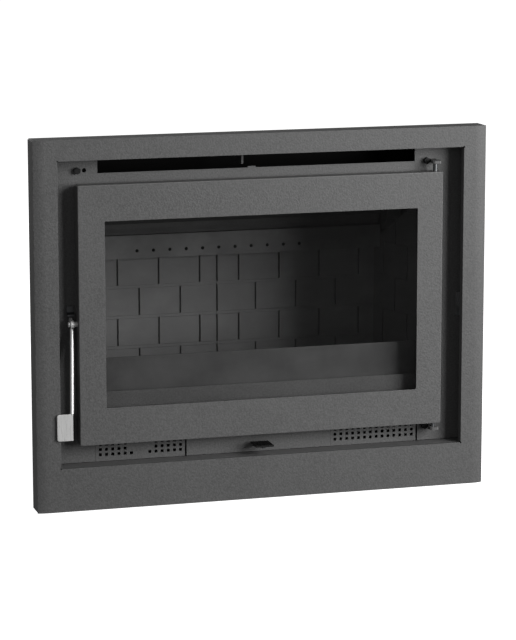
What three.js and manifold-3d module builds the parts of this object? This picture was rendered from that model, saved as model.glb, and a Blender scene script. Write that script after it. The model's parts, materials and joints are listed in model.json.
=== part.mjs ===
// Wood-burning fireplace insert with a one-door glazed front and a folded trim frame.
// Millimetres, +Z up. While it is drawn, y = 0 is the front plane of the trim frame, +Y runs into
// the wall and x = 0 is the middle. The last lines move the origin to the middle of the footprint.
import * as THREE from 'three';
import { mergeVertices } from 'three/addons/utils/BufferGeometryUtils.js';
import Module from 'manifold-3d';

const wasm = await Module();
wasm.setup();

// ---------------------------------------------------------------- driving dimensions
const gap = 0.3; // between pieces that touch

// trim frame
const frameWidth = 780;
const frameHeight = 618;
const frameDepth = 40;
const frameSheet = 2;
const frameSideBand = 40;
const frameTopBand = 35;
const frameBottomBand = 73;
const returnDepth = 13; // folded edge round the opening at the top and sides
const bowWidth = 20; // outer part of each side band that curves back
const bowDrop = 3;
const bowSteps = 9;
const cornerRelief = 1.4; // square nick where two folds meet
const sillDrop = 16; // height of the folded lip at the back of the sill
const sillOverlap = 8; // how far the sill runs on behind each side band
const clipSheet = 3;
const clipHeight = 40;

// facade plate behind the door
const facadeSheet = 3; // its back is flush with the frame's rear edge
const facadePlay = 8; // between the plate's edge and the frame's inner face
const facadeRise = 0.4; // its lower edge above the frame's bottom band
const mouthSideReveal = 14.25; // the mouth's edges outside the window
const mouthTopReveal = 8.8;
const mouthSill = 21.6; // plate that stands above the window's lower edge
const mouthCorner = 6;
const slotInset = 75; // the slot's ends from the opening's sides
const slotDrop = 3; // below the opening's top
const slotHeight = 23;
const slotLipLeft = -19; // small raised lip on the slot's lower edge
const slotLipWidth = 14;
const slotLipHeight = 2.4;

// air grilles in the facade's lower corners
const grilleHeight = 45;
const grilleSheet = 2;
const grilleInset = 66.2; // from the opening's side to the grille
const grilleWidth = 157.1;
const grillePlay = 2.9; // slit at the right-hand end of each grille
const ventSize = 5;
const ventPitchX = 10.63;
const ventPitchZ = 8.6;
const ventFirstInset = 8.2; // first vent column from the grille's left edge
const ventEdge = 7; // least plain margin beside the last column
const ventRows = 4;
const ventFirstRise = 11.2; // lowest row above the grille's lower edge
const ventBlankRadius = 23; // plain disc left in the left-hand grille
const ventBlankRise = 31.4;

// door
const doorSideGap = 34.5; // from the door's edges to the frame's opening
const doorTopGap = 41.6;
const doorBottomGap = 35;
const doorDepth = 22;
const sealSpace = 8; // from the door's back to the facade, filled by the rope
const doorSheet = 2.5;
const doorBevel = 1.6;
const doorCorner = 3;
const doorStile = 44.75;
const doorTopRail = 60.2;
const doorBottomRail = 61.4;
const windowCorner = 2;
const glassMargin = 12.3;
const glassThickness = 4;
const glassTape = 1.4;
const retainerReveal = 5.5; // its inner edge outside the window
const retainerWidth = 16;
const retainerSheet = 3;
const backFrameSheet = 1.8;
const backFrameReveal = 13.3; // its inner edge outside the window
const ropeSize = 8.6;
const ropeRounding = 2.2;
const ropeReveal = 26; // middle of the rope outside the window at the sides

// hinges
const hingeInset = 11; // from the door's right-hand edge
const hingeFromFace = 9; // behind the door's face
const hingePinRadius = 3.8;
const hingePinHold = 19; // length of pin inside the door
const hingeBoreClearance = 0.4;
const hingeBlockHeight = 20;
const hingeBlockReach = 9; // from the pin's axis towards the middle
const bracketThickness = 5.1;
const bracketRiseUpper = 13.8; // from the door's top to the bracket
const bracketDropLower = 6.5;
const bracketHalfWidth = 7.2;
const bracketReach = 11; // in front of the pin's axis
const boltAcrossFlats = 10;
const boltHeadHeight = 6.4;
const hingeBoltShift = 8.7; // from the pin's axis towards the middle

// handle
const handleFromBack = 6.5; // the shaft's axis in front of the door's back
const handleRise = 202.5; // and above the door's lower edge
const handleShaftRadius = 4.2;
const handleOut = 8.8; // middle of the lever outside the door's edge, at its axis
const handleHubRadius = 7;
const handleHubWidth = 5;
const handleShaftEnd = 3.5; // length of shaft outside the hub
const bearingLength = 15;
const bearingHalf = 10;
const handleLean = 7.3; // how much further out the lever is at its lower end
const handleProud = 10; // its lower end in front of the door's face
const handleRodRadius = 3.1;
const gripWidth = 26.9;
const gripHeight = 45;
const gripDrop = 144.7; // from the shaft's axis to the grip's top
const gripThickness = 3;
const gripCorner = 4;
const noseReach = 14;
const noseRise = 36; // degrees above level at rest
const noseHalf = 2.6;
const keeperClearance = 1.5;
const keeperReach = 9; // how far the ramp stands out
const keeperSheet = 2.5;
const keeperHeight = 16;

// air control
const tabX = -1;
const tabWidth = 31.5;
const tabLength = 36;
const tabFront = -5;
const tabRise = 19; // its top above the frame's bottom band
const tabSheet = 2.4;
const tabRibs = 8;
const tabRibHeight = 1;
const airRodRadius = 2.5;
const damperWidth = 124;
const damperSheet = 2;
const airBoxDepth = 110;
const airBoxSheet = 2;
const airPortWidth = 90; // opening from the air box into the front of the ash well
const airPortDepth = 20;
const damperSetback = 29.7; // behind the casing's front edge, and more than the slide's 25 mm travel

// firebox, measured on the inside of its lining
const liningSetback = 3.7; // behind the casing's front edge
const liningInset = 19; // its sides inside the frame's opening
const liningStraight = 121; // the side walls splay inwards behind this depth
const liningSplay = 0.28;
const fireboxDepth = 256;
const liningThickness = 18;
const hearthDrop = 23; // below the mouth's lower edge
const hearthSlab = 18;
const sideLiningDrop = 33; // its flat top below the mouth's upper edge
const sideTopRun = 110; // length of the sloping top in front of the back wall
const sideTopFall = 73;
const firstBed = 95.2; // a bed joint above the hearth
const brickWidth = 74.5;
const brickHeight = 53.7;
const sideBrickHeight = 60.5;
const jointWidth = 3;
const jointDepth = 6;
const bedLine = 1;
const bedDepth = 1.2;
const bedStrip = 5.5; // plain strip between the two lines of a bed joint on the back wall
// first upright joint from the seam or the kink, in even and in odd rows
const backStarts = { left: [67, 31.5], right: [71, 40] };
const sideStarts = [brickWidth, brickWidth / 2];

const beamDrop = 117.8; // its lower edge below the mouth's upper edge
const beamHeight = 41;
const beamProud = 18; // stands in front of the back lining
const beamSheet = 2;
const beamHoles = 11;
const beamHolePitch = 29.6;
const beamHoleShift = -1;
const beamHoleRadius = 3;
const beamHoleRise = 13.5;
const baffleThickness = 14;
const baffleReach = 107; // in front of the beam
const baffleSlope = 0.35;
const baffleFoot = 12; // depth of the foot that rests on the beam
const baffleShadow = 3.5; // height of the recess above the beam
const baffleChamfer = [5, 8]; // depth and height of the sloping strip above it
const baffleNose = 8.3; // height of the upright strip above that
const supportSetback = 65; // front of each baffle support before the back wall
const supportDepth = 30;
const guardClear = 4; // behind the lining's front edge
const guardSheet = 3;
const guardHeight = 78;

const grateWidth = 244;
const grateDepth = 164;
const grateThickness = 10;
const grateSlots = 9;
const grateLedge = 7;
const grateMargin = 20; // plain rim round the slots
const wellWall = 14; // thickness of the hearth round the ash well
const ashPanSheet = 1.5;
const ashPanPlay = 3; // round the pan
const ashPanDrop = 6; // its rim below the hearth slab

// steel bodies
const shellSheet = 3;
const shellClear = 0.4;
const shellDrop = 60; // its floor below the hearth's surface
const shellRise = 41; // its ceiling above the mouth's upper edge
const casingSheet = 2;
const casingClear = 6.6; // air space at the sides
const casingBackClear = 21.5;
const casingBottom = 60;
const hoodRise = 10; // above the warm-air slot
const hoodSlant = 15;
const roofClear = 14; // from the shell's ceiling to the casing's rear roof
const flueRadius = 75;
const flueWall = 2;
const flueClear = 6.7; // from the hood's slant to the collar
const flueBackClear = 15.4; // from the collar's flange to the shell's back
const flueRise = 35; // above the casing's rear roof
const flueFlange = 9;
const footPadRadius = 18;
const footPadHeight = 6;
const footStemRadius = 6;
const footNutRadius = 10;
const footNutHeight = 9;

// ---------------------------------------------------------------- places worked out from them
const openingHalf = frameWidth / 2 - frameSideBand;
const openingTop = frameHeight - frameTopBand;
const facadeSetback = frameDepth - facadeSheet;
const facadeBack = facadeSetback + facadeSheet;
const facadeBottom = frameBottomBand + facadeRise;
const facadeTop = frameHeight - frameSheet - facadePlay;
const facadeHalf = frameWidth / 2 - frameSheet - facadePlay;
const doorBottom = frameBottomBand + doorBottomGap;
const doorTop = openingTop - doorTopGap;
const doorHalf = openingHalf - doorSideGap;
const doorBack = facadeSetback - sealSpace;
const doorSetback = doorBack - doorDepth;
const windowHalf = doorHalf - doorStile;
const windowTop = doorTop - doorTopRail;
const windowBottom = doorBottom + doorBottomRail;
const mouthHalf = windowHalf + mouthSideReveal;
const mouthTop = windowTop + mouthTopReveal;
const mouthBottom = windowBottom + mouthSill;
const slotHalf = openingHalf - slotInset;
const slotTop = openingTop - slotDrop;
const slotBottom = slotTop - slotHeight;
const grilleOuterX = openingHalf - grilleInset;
const grilleInnerX = grilleOuterX - grilleWidth;
const tapeFront = doorSetback + doorSheet + gap;
const glassFront = tapeFront + glassTape + gap;
const retainerFront = glassFront + glassThickness + gap;
const backFrameFront = doorBack - backFrameSheet;
const ropeFront = doorBack + gap;
const ropeBack = facadeSetback - gap;
const hingeX = doorHalf - hingeInset;
const hingeY = doorSetback + hingeFromFace;
const hingeBoltX = hingeX - hingeBoltShift;
const handleX = -doorHalf - handleOut;
const handleAxisY = doorBack - handleFromBack;
const handleAxisZ = doorBottom + handleRise;
const handleFootX = handleX - handleLean;
const handleFootY = doorSetback - handleProud;
const gripTop = handleAxisZ - gripDrop;
const bodyFront = facadeBack + gap;
const liningFront = bodyFront + liningSetback;
const liningHalf = openingHalf - liningInset;
const liningKink = liningFront + liningStraight;
const liningBack = liningFront + fireboxDepth;
const splayLength = Math.hypot(1, liningSplay);
const liningEnd = liningBack + liningThickness;
const hearthTop = mouthBottom - hearthDrop;
const hearthBottom = hearthTop - hearthSlab;
const brickRowZ = hearthTop + firstBed;
const sideLiningTop = mouthTop - sideLiningDrop;
const sideTopKink = liningBack - sideTopRun;
const sideTopAtBack = sideLiningTop - sideTopFall;
const sideTopSlope = sideTopFall / sideTopRun;
const beamBottom = mouthTop - beamDrop;
const beamTop = beamBottom + beamHeight;
const beamFront = liningBack - beamProud;
const baffleFront = beamFront - baffleReach;
const guardSetback = liningFront + guardClear;
const guardTop = hearthTop + guardHeight;
const grateMiddleY = (guardSetback + guardSheet + liningBack) / 2;
const wellHalfX = grateWidth / 2 - grateLedge;
const wellFront = grateMiddleY - grateDepth / 2 + grateLedge;
const wellBack = grateMiddleY + grateDepth / 2 - grateLedge;
const shellBottom = hearthTop - shellDrop;
const shellTop = mouthTop + shellRise;
const shellInner = liningThickness + shellClear;
const shellOuter = shellInner + shellSheet;
const shellBack = liningEnd + shellClear + shellSheet;
const hearthFeet = shellBottom + shellSheet + gap;
const casingInner = shellOuter + casingClear;
const casingOuter = casingInner + casingSheet;
const casingBack = shellBack + casingBackClear + casingSheet;
const hoodTop = slotTop + hoodRise;
const rearTop = shellTop + roofClear;
const flueMiddleY = shellBack - flueBackClear - flueFlange - flueRadius;
const hoodBack = flueMiddleY - flueRadius - flueClear - hoodSlant;
const flueTop = rearTop + flueRise;
const tabTop = frameBottomBand + tabRise;
const airRodZ = tabTop - tabRibHeight - tabSheet - gap - airRodRadius;
const damperFront = bodyFront + damperSetback;
const airBoxFront = damperFront + damperSheet + gap;

// ---------------------------------------------------------------- shape helpers
function solid(geometry) {
  const bare = geometry.clone();
  bare.deleteAttribute('normal');
  bare.deleteAttribute('uv');
  const merged = mergeVertices(bare.index ? bare.toNonIndexed() : bare, 1e-4);
  const vertProperties = new Float32Array(merged.attributes.position.array);
  const triVerts = new Uint32Array(merged.index.array);
  return new wasm.Manifold(new wasm.Mesh({ numProp: 3, vertProperties, triVerts }));
}

function surface(manifold) {
  const mesh = manifold.getMesh();
  const geometry = new THREE.BufferGeometry();
  geometry.setAttribute('position', new THREE.BufferAttribute(new Float32Array(mesh.vertProperties), 3));
  geometry.setIndex(new THREE.BufferAttribute(new Uint32Array(mesh.triVerts), 1));
  geometry.computeVertexNormals();
  return geometry;
}

function cut(body, ...tools) {
  return tools.reduce((left, tool) => left.subtract(solid(tool)), body);
}

function join(body, ...others) {
  return others.reduce((sum, other) => sum.add(solid(other)), body);
}

function block([x0, x1], [y0, y1], [z0, z1]) {
  const box = new THREE.BoxGeometry(x1 - x0, y1 - y0, z1 - z0);
  return box.translate((x0 + x1) / 2, (y0 + y1) / 2, (z0 + z1) / 2);
}

// An outline in x and y, raised from z0 to z1.
function prismZ(outline, [z0, z1]) {
  const geometry = new THREE.ExtrudeGeometry(asShape(outline), { depth: z1 - z0, bevelEnabled: false });
  return geometry.translate(0, 0, z0);
}

// An outline in y and z, drawn out from x0 to x1.
function prismX(outline, [x0, x1]) {
  const geometry = new THREE.ExtrudeGeometry(asShape(outline), { depth: x1 - x0, bevelEnabled: false });
  const turn = new THREE.Matrix4().makeBasis(
    new THREE.Vector3(0, 1, 0), new THREE.Vector3(0, 0, 1), new THREE.Vector3(1, 0, 0));
  return geometry.applyMatrix4(turn).translate(x0, 0, 0);
}

// An outline in x and z, drawn out from y0 to y1, with both rims rounded off by bevel where it is given.
function prismY(outline, [y0, y1], { bevel = 0, bevelSteps = 2, curveSegments = 6 } = {}) {
  const geometry = new THREE.ExtrudeGeometry(asShape(outline), {
    depth: y1 - y0 - 2 * bevel,
    bevelEnabled: bevel > 0,
    bevelThickness: bevel,
    bevelSize: bevel,
    bevelOffset: -bevel,
    bevelSegments: bevelSteps,
    curveSegments,
  });
  const turn = new THREE.Matrix4().makeBasis(
    new THREE.Vector3(1, 0, 0), new THREE.Vector3(0, 0, 1), new THREE.Vector3(0, -1, 0));
  return geometry.applyMatrix4(turn).translate(0, y1 - bevel, 0);
}

function asShape(outline) {
  if (outline instanceof THREE.Shape) return outline;
  return new THREE.Shape(outline.map(([a, b]) => new THREE.Vector2(a, b)));
}

function roundedRect([a0, a1], [b0, b1], radius) {
  const path = new THREE.Shape();
  path.absarc(a1 - radius, b0 + radius, radius, -Math.PI / 2, 0, false);
  path.absarc(a1 - radius, b1 - radius, radius, 0, Math.PI / 2, false);
  path.absarc(a0 + radius, b1 - radius, radius, Math.PI / 2, Math.PI, false);
  path.absarc(a0 + radius, b0 + radius, radius, Math.PI, 1.5 * Math.PI, false);
  path.closePath();
  return path;
}

function ringOutline(outer, inner) {
  const shape = roundedRect(...outer);
  shape.holes.push(roundedRect(...inner));
  return shape;
}

// A round bar from one point to another.
function bar(from, to, radius, sides = 24) {
  const start = new THREE.Vector3(...from);
  const end = new THREE.Vector3(...to);
  const length = start.distanceTo(end);
  const geometry = new THREE.CylinderGeometry(radius, radius, length, sides);
  const turn = new THREE.Quaternion().setFromUnitVectors(
    new THREE.Vector3(0, 1, 0), end.clone().sub(start).normalize());
  const middle = start.add(end).multiplyScalar(0.5);
  return geometry.applyQuaternion(turn).translate(middle.x, middle.y, middle.z);
}

// Half width of the firebox plan at depth y, moved outwards by offset.
function planHalf(offset, y) {
  return Math.min(liningHalf + offset, liningHalf + offset * splayLength - liningSplay * (y - liningKink));
}

// The firebox plan from y0 to y1, moved outwards by offset.
function plan(offset, y0, y1) {
  const kink = liningKink + (offset * (splayLength - 1)) / liningSplay;
  const depths = kink > y0 && kink < y1 ? [y0, kink, y1] : [y0, y1];
  const right = depths.map((y) => [planHalf(offset, y), y]);
  const left = right.map(([x, y]) => [-x, y]).reverse();
  return [...right, ...left];
}

// ---------------------------------------------------------------- materials
const finishes = {
  body_paint: { color: 0x5c5c5c, roughness: 0.55, metalness: 0.3 },
  door_paint: { color: 0x5c5c5c, roughness: 0.55, metalness: 0.3 },
  inner_steel: { color: 0x3a3a3a, roughness: 0.7, metalness: 0.4 },
  galvanised: { color: 0x9a9da0, roughness: 0.45, metalness: 0.7 },
  lining: { color: 0x4a4a48, roughness: 0.95, metalness: 0 },
  cast_iron: { color: 0x2c2c2c, roughness: 0.8, metalness: 0.4 },
  stainless: { color: 0xc4c4c2, roughness: 0.3, metalness: 0.9 },
  black_steel: { color: 0x1b1b1b, roughness: 0.5, metalness: 0.5 },
  zinc: { color: 0xb0b2b4, roughness: 0.35, metalness: 0.8 },
  rope: { color: 0x8d8a84, roughness: 1, metalness: 0 },
  glass: { color: 0xdfe4e2, roughness: 0.05, metalness: 0, transparent: true, opacity: 0.3 },
};

const insert = new THREE.Group();

function add(name, shape, finish) {
  const geometry = shape instanceof THREE.BufferGeometry ? shape : surface(shape);
  const mesh = new THREE.Mesh(geometry, new THREE.MeshStandardMaterial(finishes[finish]));
  mesh.name = name;
  insert.add(mesh);
  return mesh;
}

// ---------------------------------------------------------------- trim frame
function bowedPlan(inset, back) {
  const half = frameWidth / 2 - inset;
  const flat = frameWidth / 2 - bowWidth;
  const right = [];
  for (let i = 0; i <= bowSteps; i += 1) {
    const share = i / bowSteps;
    right.push([flat + (half - flat) * share, inset + bowDrop * share * share]);
  }
  right.push([half, back]);
  const left = right.map(([x, y]) => [-x, y]).reverse();
  return [...right, ...left];
}

function nick(middle) {
  return [middle - cornerRelief, middle + cornerRelief];
}

function trimFrame() {
  const t = frameSheet;
  let frame = solid(prismZ(bowedPlan(0, frameDepth), [0, frameHeight]));
  frame = cut(frame, prismZ(bowedPlan(t, frameDepth + 1), [t, frameHeight - t]));
  const across = [-openingHalf - t, openingHalf + t];
  const depth = [t / 2, returnDepth];
  const through = [-1, returnDepth + 1];
  frame = join(frame, block(across, depth, [openingTop, openingTop + t]));
  frame = join(frame, block(across, depth, [frameBottomBand - t, frameBottomBand]));
  for (const side of [-1, 1]) {
    const x = side * (openingHalf + t / 2);
    frame = join(frame, block([x - t / 2, x + t / 2], depth, [frameBottomBand - t, openingTop + t]));
  }
  frame = cut(frame, block([-openingHalf, openingHalf], through, [frameBottomBand, openingTop]));
  for (const side of [-1, 1]) {
    for (const z of [frameBottomBand, openingTop]) {
      frame = cut(frame, block(nick(side * openingHalf), through, nick(z)));
    }
    for (const z of [0, frameHeight]) {
      frame = cut(frame, block(nick((side * frameWidth) / 2), [bowDrop + t, frameDepth + 1], nick(z)));
    }
  }
  return frame;
}

function frameClip(side) {
  const sheet = clipSheet;
  const outer = frameWidth / 2 - frameSheet - gap;
  const inner = openingHalf + frameSheet;
  const back = facadeSetback - gap;
  const z = [(frameHeight - clipHeight) / 2, (frameHeight + clipHeight) / 2];
  const span = (a, b) => [side * a, side * b].sort((m, n) => m - n);
  const wing = block(span(inner, outer), [back - sheet, back], z);
  return join(solid(wing), block(span(outer - sheet, outer), [returnDepth, back], z));
}

function facadeSill() {
  const half = openingHalf + frameSheet + sillOverlap;
  const back = facadeSetback - gap;
  const top = frameBottomBand;
  const tread = block([-half, half], [returnDepth + gap, back], [top - frameSheet, top]);
  const riser = block([-half, half], [back - frameSheet, back], [top - sillDrop, top - 1]);
  return join(solid(tread), riser);
}

add('trim_frame', trimFrame(), 'body_paint');
add('facade_sill', facadeSill(), 'body_paint');
add('frame_clip_left', frameClip(-1), 'galvanised');
add('frame_clip_right', frameClip(1), 'galvanised');

// ---------------------------------------------------------------- facade plate and grilles
const boltHoleX = 297.3;
const boltHoleZ = doorTop + bracketRiseUpper + 7.3;
const boltHoleRadius = 3.6;
const facadeBoltX = -309.7;
const grilleTop = facadeBottom + grilleHeight;

function facadePlate() {
  const yRange = [facadeSetback, facadeBack];
  const through = [facadeSetback - 1, facadeBack + 1];
  let plate = solid(block([-facadeHalf, facadeHalf], yRange, [facadeBottom, facadeTop]));
  plate = cut(plate, prismY(
    roundedRect([-mouthHalf, mouthHalf], [mouthBottom, mouthTop], mouthCorner), through));
  const lipRight = slotLipLeft + slotLipWidth;
  plate = cut(plate, prismY([
    [-slotHalf, slotBottom], [slotLipLeft, slotBottom], [slotLipLeft, slotBottom + slotLipHeight],
    [lipRight, slotBottom + slotLipHeight], [lipRight, slotBottom], [slotHalf, slotBottom],
    [slotHalf, slotTop], [-slotHalf, slotTop],
  ], through));
  for (const [x0, x1] of grilleOpenings) {
    plate = cut(plate, block([x0, x1], through, [facadeBottom - 1, grilleTop + gap]));
  }
  const hole = (x, z, radius) => bar([x, through[0], z], [x, through[1], z], radius);
  return cut(plate, hole(-boltHoleX, boltHoleZ, boltHoleRadius), hole(tabX, airRodZ, airRodRadius + gap));
}

const grilleOpenings = [[-grilleOuterX, -grilleInnerX], [grilleInnerX, grilleOuterX]];

function grille([x0, x1], hasBlank) {
  const y = [facadeSetback, facadeSetback + grilleSheet];
  const left = x0 + gap;
  const right = x1 - grillePlay;
  const ventColumns = Math.floor((right - left - ventFirstInset - ventEdge) / ventPitchX) + 1;
  const blankX = ((ventColumns - 1) / 2) * ventPitchX;
  const half = ventSize / 2;
  const vents = [];
  for (let column = 0; column < ventColumns; column += 1) {
    for (let row = 0; row < ventRows; row += 1) {
      const along = column * ventPitchX;
      const rise = ventFirstRise + row * ventPitchZ;
      const inBlank = Math.hypot(along - blankX, rise - ventBlankRise) < ventBlankRadius;
      if (hasBlank && inBlank) continue;
      const x = left + ventFirstInset + along;
      const z = facadeBottom + rise;
      vents.push(block([x - half, x + half], [y[0] - 1, y[1] + 1], [z - half, z + half]));
    }
  }
  return cut(solid(block([left, right], y, [facadeBottom, grilleTop])), ...vents);
}

add('facade_plate', facadePlate(), 'body_paint');
add('grille_left', grille(grilleOpenings[0], true), 'body_paint');
add('grille_right', grille(grilleOpenings[1], false), 'body_paint');

// ---------------------------------------------------------------- door
function doorPanel() {
  const outline = roundedRect([-doorHalf, doorHalf], [doorBottom, doorTop], doorCorner);
  let panel = solid(prismY(outline, [doorSetback, doorBack + 5], { bevel: doorBevel, curveSegments: 3 }));
  panel = cut(panel, block(
    [-doorHalf - 1, doorHalf + 1], [doorBack, doorBack + 6], [doorBottom - 1, doorTop + 1]));
  panel = cut(panel, block(
    [-doorHalf + doorSheet, doorHalf - doorSheet], [doorSetback + doorSheet, doorBack + 1],
    [doorBottom + doorSheet, doorTop - doorSheet]));
  panel = cut(panel, prismY(
    roundedRect([-windowHalf, windowHalf], [windowBottom, windowTop], windowCorner),
    [doorSetback - 1, doorSetback + doorSheet + 1], { curveSegments: 3 }));
  const bore = hingePinRadius + hingeBoreClearance;
  for (const [low, high] of [[doorBottom, doorBottom + doorSheet], [doorTop - doorSheet, doorTop]]) {
    panel = cut(panel, bar([hingeX, hingeY, low - 1], [hingeX, hingeY, high + 1], bore));
  }
  return cut(panel, bar(
    [-doorHalf - 1, handleAxisY, handleAxisZ], [-doorHalf + doorSheet + 1, handleAxisY, handleAxisZ],
    handleShaftRadius + gap));
}

const glassRange = {
  x: [-windowHalf - glassMargin, windowHalf + glassMargin],
  z: [windowBottom - glassMargin, windowTop + glassMargin],
};

function windowRing(reveal, widthOut, yRange, options) {
  const outer = [[-windowHalf - reveal - widthOut, windowHalf + reveal + widthOut],
    [windowBottom - reveal - widthOut, windowTop + reveal + widthOut], 3];
  const inner = [[-windowHalf - reveal, windowHalf + reveal], [windowBottom - reveal, windowTop + reveal], 2];
  return prismY(ringOutline(outer, inner), yRange, options);
}

function doorBackFrame() {
  const inset = doorSheet + gap;
  const outer = [[-doorHalf + inset, doorHalf - inset], [doorBottom + inset, doorTop - inset], 1];
  const inner = [[-windowHalf - backFrameReveal, windowHalf + backFrameReveal],
    [windowBottom - backFrameReveal, windowTop + backFrameReveal], 4];
  return prismY(ringOutline(outer, inner), [backFrameFront, doorBack]);
}

function ropeSeal() {
  const below = ropeReveal - 2;
  const mid = { x: windowHalf + ropeReveal, low: windowBottom - below, high: windowTop + below };
  const half = ropeSize / 2;
  const outer = [[-mid.x - half, mid.x + half], [mid.low - half, mid.high + half], 16];
  const inner = [[-mid.x + half, mid.x - half], [mid.low + half, mid.high - half], 8];
  const rounding = { bevel: ropeRounding, bevelSteps: 2, curveSegments: 5 };
  return prismY(ringOutline(outer, inner), [ropeFront, ropeBack], rounding);
}

function hingeBlock(low, high) {
  const x = [hingeX - hingeBlockReach, doorHalf - doorSheet - gap];
  const y = [doorSetback + doorSheet + gap, backFrameFront - gap];
  const body = solid(block(x, y, [low, high]));
  return cut(body, bar(
    [hingeX, hingeY, low - 1], [hingeX, hingeY, high + 1], hingePinRadius + hingeBoreClearance));
}

function handleBearing() {
  const x = [-doorHalf + doorSheet + gap, -doorHalf + doorSheet + bearingLength];
  const y = [handleAxisY - bearingHalf, backFrameFront - gap];
  const body = solid(block(x, y, [handleAxisZ - bearingHalf, handleAxisZ + bearingHalf]));
  return cut(body, bar(
    [x[0] - 1, handleAxisY, handleAxisZ], [x[1] + 1, handleAxisY, handleAxisZ], handleShaftRadius + gap));
}

add('door_panel', doorPanel(), 'door_paint');
add('glass_tape', windowRing(3, glassMargin - 3, [tapeFront, tapeFront + glassTape]), 'rope');
add('door_glass', block(glassRange.x, [glassFront, glassFront + glassThickness], glassRange.z), 'glass');
const retainerY = [retainerFront, retainerFront + retainerSheet];
add('glass_retainer', windowRing(retainerReveal, retainerWidth, retainerY), 'galvanised');
add('door_back_frame', doorBackFrame(), 'inner_steel');
add('door_rope_seal', ropeSeal(), 'rope');
const doorInnerTop = doorTop - doorSheet - gap;
const doorInnerBottom = doorBottom + doorSheet + gap;
add('door_hinge_block_upper', hingeBlock(doorInnerTop - hingeBlockHeight, doorInnerTop), 'zinc');
add('door_hinge_block_lower', hingeBlock(doorInnerBottom, doorInnerBottom + hingeBlockHeight), 'zinc');
add('handle_bearing', handleBearing(), 'zinc');

// ---------------------------------------------------------------- hinges
function hingeBracket(low) {
  const left = hingeX - bracketHalfWidth;
  const right = hingeX + bracketHalfWidth;
  const front = hingeY - bracketReach;
  const back = facadeSetback - gap;
  const neck = hingeBoltX + boltAcrossFlats / Math.sqrt(3) + gap;
  const nose = 2.5;
  const outline = [[left + nose, front], [right - nose, front], [right, front + nose], [right, back],
    [neck, back], [neck, back - 13], [left, back - 17], [left, front + nose]];
  const high = low + bracketThickness;
  const bore = bar([hingeX, hingeY, low - 1], [hingeX, hingeY, high + 1], hingePinRadius + gap);
  return cut(solid(prismZ(outline, [low, high])), bore);
}

function hexBolt(x, z) {
  const radius = boltAcrossFlats / Math.sqrt(3);
  const head = new THREE.CylinderGeometry(radius, radius, boltHeadHeight, 6);
  return head.translate(x, facadeSetback - gap - boltHeadHeight / 2, z);
}

const bracketUpper = doorTop + bracketRiseUpper;
const bracketLower = doorBottom - bracketDropLower - bracketThickness;
add('hinge_bracket_upper', hingeBracket(bracketUpper), 'body_paint');
add('hinge_bracket_lower', hingeBracket(bracketLower), 'body_paint');
const hingePin = (low, high) => bar([hingeX, hingeY, low], [hingeX, hingeY, high], hingePinRadius);
add('hinge_pin_upper', hingePin(doorTop - hingePinHold, bracketUpper + bracketThickness), 'zinc');
add('hinge_pin_lower', hingePin(bracketLower, doorBottom + hingePinHold), 'zinc');
add('hinge_bolt_upper', hexBolt(hingeBoltX, bracketUpper + bracketThickness / 2), 'black_steel');
add('hinge_bolt_lower', hexBolt(hingeBoltX, bracketLower + bracketThickness / 2), 'black_steel');
add('facade_bolt', hexBolt(facadeBoltX, boltHoleZ), 'black_steel');

// ---------------------------------------------------------------- handle and latch
function latchNose() {
  const x = [handleX - handleHubWidth / 2, handleX + handleHubWidth / 2];
  const angle = THREE.MathUtils.degToRad(noseRise);
  const along = [Math.cos(angle), Math.sin(angle)];
  const across = [-Math.sin(angle), Math.cos(angle)];
  const corner = (reach, side) => [
    handleAxisY + along[0] * reach + across[0] * side, handleAxisZ + along[1] * reach + across[1] * side];
  const tip = Math.sqrt(noseReach ** 2 - noseHalf ** 2);
  const arm = [corner(0, -noseHalf), corner(tip - 1, -noseHalf), corner(noseReach - 0.4, -noseHalf / 2),
    corner(noseReach - 0.4, noseHalf / 2), corner(tip - 1, noseHalf), corner(0, noseHalf)];
  const onAxis = (from, to, radius, sides) => bar(
    [from, handleAxisY, handleAxisZ], [to, handleAxisY, handleAxisZ], radius, sides);
  const nose = join(solid(onAxis(x[0], x[1], handleHubRadius, 32)), prismX(arm, x));
  return cut(nose, onAxis(x[0] - 1, x[1] + 1, handleShaftRadius + gap));
}

function grip() {
  const right = handleFootX + handleRodRadius - 1.4;
  const left = right - gripWidth;
  const low = gripTop - gripHeight;
  const outline = new THREE.Shape();
  outline.moveTo(right, low);
  outline.lineTo(right, gripTop);
  outline.absarc(left + gripCorner, gripTop - gripCorner, gripCorner, Math.PI / 2, Math.PI, false);
  outline.absarc(left + gripCorner, low + gripCorner, gripCorner, Math.PI, 1.5 * Math.PI, false);
  outline.closePath();
  const y = [handleFootY - gripThickness / 2, handleFootY + gripThickness / 2];
  return prismY(outline, y, { bevel: 0.5, bevelSteps: 1 });
}

function handleRod() {
  const top = handleAxisZ - handleHubRadius - gap - 0.2;
  const foot = gripTop + gap;
  const full = bar(
    [handleX, handleAxisY, top + 3], [handleFootX, handleFootY, foot - 3], handleRodRadius, 20);
  const kept = block([-frameWidth, 0], [-frameDepth * 2, frameDepth * 2], [foot, top]);
  return solid(full).intersect(solid(kept));
}

add('handle_shaft', bar(
  [handleX - handleHubWidth / 2 - handleShaftEnd, handleAxisY, handleAxisZ],
  [-doorHalf + doorSheet + bearingLength - 1, handleAxisY, handleAxisZ], handleShaftRadius, 28), 'stainless');
add('latch_nose', latchNose(), 'stainless');
add('handle_rod', handleRod(), 'stainless');
add('handle_grip', grip(), 'stainless');

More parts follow.
